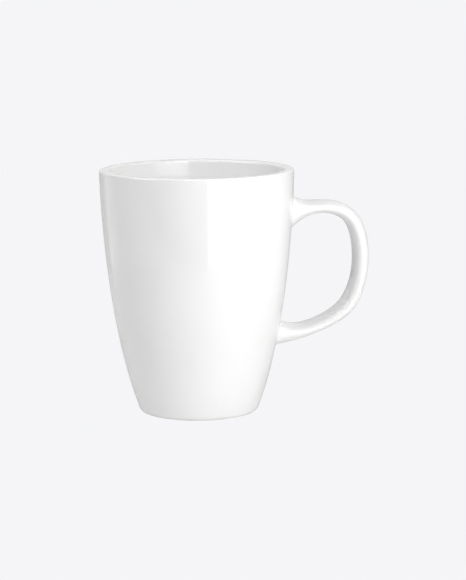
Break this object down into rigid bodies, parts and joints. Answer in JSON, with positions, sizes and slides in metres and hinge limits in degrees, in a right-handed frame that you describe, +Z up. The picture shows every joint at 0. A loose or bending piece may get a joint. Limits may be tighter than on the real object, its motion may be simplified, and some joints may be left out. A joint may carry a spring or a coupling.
{
  "type": "ceramic mug",
  "caption": "Tapered glazed ceramic mug with a flat rim, a bare foot ring and a wide loop handle for drinking hot drinks.",
  "frame": {"origin": "on the cup's axis, in the plane that the foot ring stands on", "axes": "+Z up along the cup's axis, +X towards the handle"},
  "size_m": [0.1184, 0.085, 0.107],
  "materials": {
    "bare_ceramic": "matte, fine-grained and unglazed",
    "white_glaze": "high gloss, neutral white",
    "joining_slip": "smooth fired slip"
  },
  "bodies": {
    "root": {"cup_body": "bare_ceramic", "outer_glaze": "white_glaze", "inner_glaze": "white_glaze", "underside_glaze": "white_glaze", "handle": "bare_ceramic", "handle_glaze": "white_glaze", "upper_slip_joint": "joining_slip", "lower_slip_joint": "joining_slip"}
  },
  "joints": []
}
